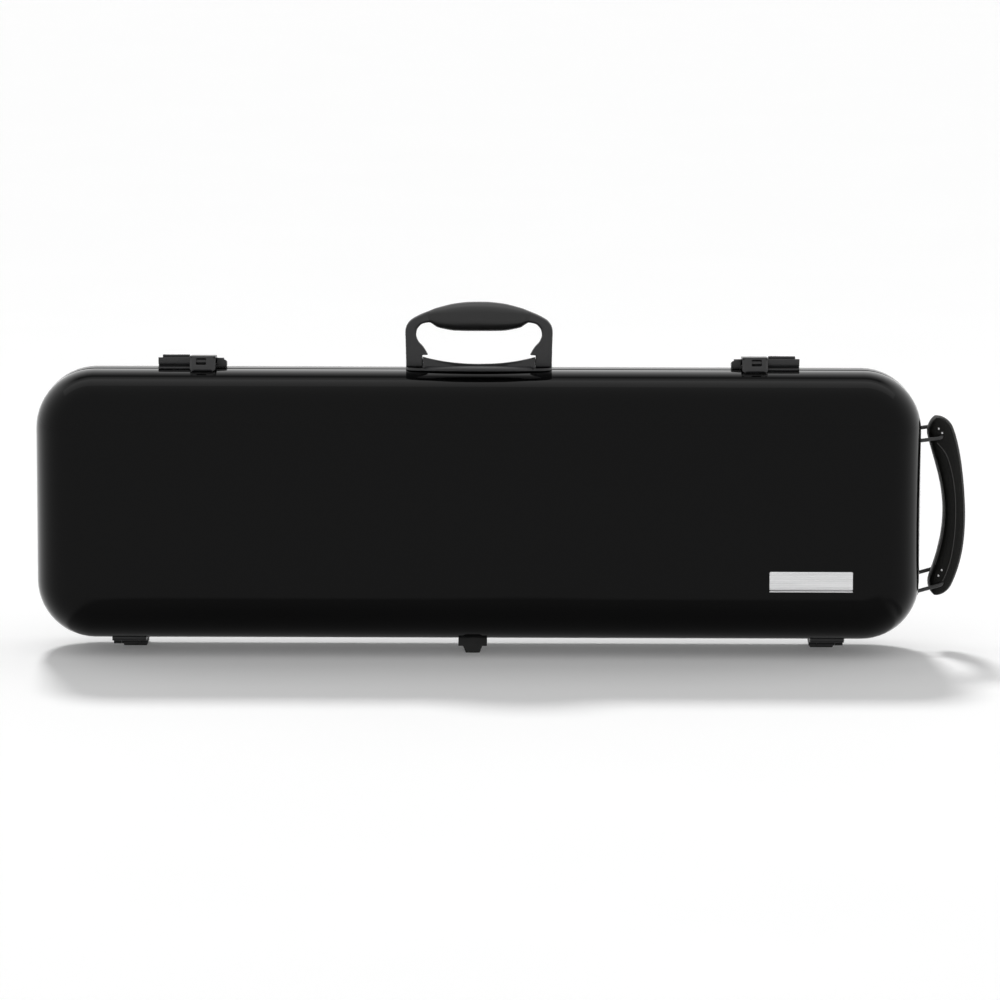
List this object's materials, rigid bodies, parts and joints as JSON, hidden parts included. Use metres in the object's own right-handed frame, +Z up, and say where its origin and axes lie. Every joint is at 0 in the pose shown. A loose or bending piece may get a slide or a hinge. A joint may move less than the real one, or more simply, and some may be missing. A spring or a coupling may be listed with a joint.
{
  "type": "violin case",
  "caption": "Oblong hard-shell violin case with gloss lid, fold-down carrying handle, slide-and-hasp latches, padded end strap and a fitted plush interior.",
  "frame": {"origin": "middle of the case's footprint, on the floor under its feet, as it stands on its hinge side", "axes": "+X along the length toward the strap handle, +Y from the lid to the base, +Z up toward the carrying handle"},
  "size_m": [0.844, 0.131, 0.3185],
  "materials": {
    "gloss_shell": "high gloss",
    "satin_black": "satin",
    "latch_black": "satin",
    "black_rubber": "matte",
    "pin_steel": "ground",
    "black_wire": "black coat",
    "black_leather": "smooth grain",
    "plate_metal": "brushed",
    "plush": "short plush",
    "plush_light": "short plush",
    "black_webbing": "woven tape"
  },
  "bodies": {
    "base": {"base_shell": "gloss_shell", "base_rim": "satin_black", "rim_seal": "black_rubber", "base_liner": "plush", "neck_cradle": "plush_light", "neck_strap": "black_webbing", "hinge_left_base_leaf": "satin_black", "hinge_right_base_leaf": "satin_black", "hinge_left_pin": "pin_steel", "hinge_right_pin": "pin_steel", "rear_foot_left": "black_rubber", "rear_foot_right": "black_rubber", "latch_left_housing": "latch_black", "latch_right_housing": "latch_black", "latch_left_pin": "pin_steel", "latch_right_pin": "pin_steel", "handle_mount": "satin_black", "handle_pin_left": "pin_steel", "handle_pin_right": "pin_steel", "strap_handle": "black_leather", "strap_loop_upper": "black_wire", "strap_loop_lower": "black_wire"},
    "lid": {"lid_shell": "gloss_shell", "lid_rim": "satin_black", "lid_liner": "plush", "hinge_left_lid_leaf": "satin_black", "hinge_right_lid_leaf": "satin_black", "front_foot": "black_rubber", "latch_left_keeper": "latch_black", "latch_right_keeper": "latch_black", "name_plate": "plate_metal", "bow_post_upper": "satin_black", "bow_post_lower": "satin_black", "bow_tip_rest": "plush_light"},
    "hasp_left": {"latch_left_hasp": "latch_black"},
    "hasp_right": {"latch_right_hasp": "latch_black"},
    "slide_left": {"latch_left_slide": "latch_black"},
    "slide_right": {"latch_right_slide": "latch_black"},
    "handle": {"handle_frame": "satin_black", "handle_grip": "black_rubber"},
    "pocket_flap": {"pocket_lid": "plush_light", "pocket_tab": "black_webbing"},
    "clip_upper": {"bow_clip_upper": "satin_black"},
    "clip_lower": {"bow_clip_lower": "satin_black"}
  },
  "joints": [
    {"name": "lid_hinge", "type": "hinge", "parent": "base", "child": "lid", "pos_m": [-0.0221, -0.00445, 0.008], "axis": [1, 0, 0], "range_deg": [0, 100]},
    {"name": "hasp_left_turn", "type": "hinge", "parent": "base", "child": "hasp_left", "pos_m": [-0.2814, 0.00655, 0.2635], "axis": [-1, 0, 0], "range_deg": [0, 100]},
    {"name": "hasp_right_turn", "type": "hinge", "parent": "base", "child": "hasp_right", "pos_m": [0.2372, 0.00655, 0.2635], "axis": [-1, 0, 0], "range_deg": [0, 100]},
    {"name": "slide_left_pull", "type": "slide", "parent": "base", "child": "slide_left", "axis": [-1, 0, 0], "range_m": [0, 0.0035], "stiffness_N_per_m": 200, "springref_m": -0.002},
    {"name": "slide_right_pull", "type": "slide", "parent": "base", "child": "slide_right", "axis": [1, 0, 0], "range_m": [0, 0.0035], "stiffness_N_per_m": 200, "springref_m": -0.002},
    {"name": "handle_fold", "type": "hinge", "parent": "base", "child": "handle", "pos_m": [-0.0221, -0.00245, 0.2641], "axis": [1, 0, 0], "range_deg": [-78, 78]},
    {"name": "pocket_flap_lift", "type": "hinge", "parent": "base", "child": "pocket_flap", "pos_m": [0.0139, -0.00175, 0.2325], "axis": [-1, 0, 0], "range_deg": [0, 90]},
    {"name": "clip_upper_turn", "type": "hinge", "parent": "lid", "child": "clip_upper", "pos_m": [0.3129, -0.05665, 0.1825], "axis": [0, 1, 0], "range_deg": [0, 90]},
    {"name": "clip_lower_turn", "type": "hinge", "parent": "lid", "child": "clip_lower", "pos_m": [0.3129, -0.05665, 0.0865], "axis": [0, 1, 0], "range_deg": [0, 90]}
  ]
}
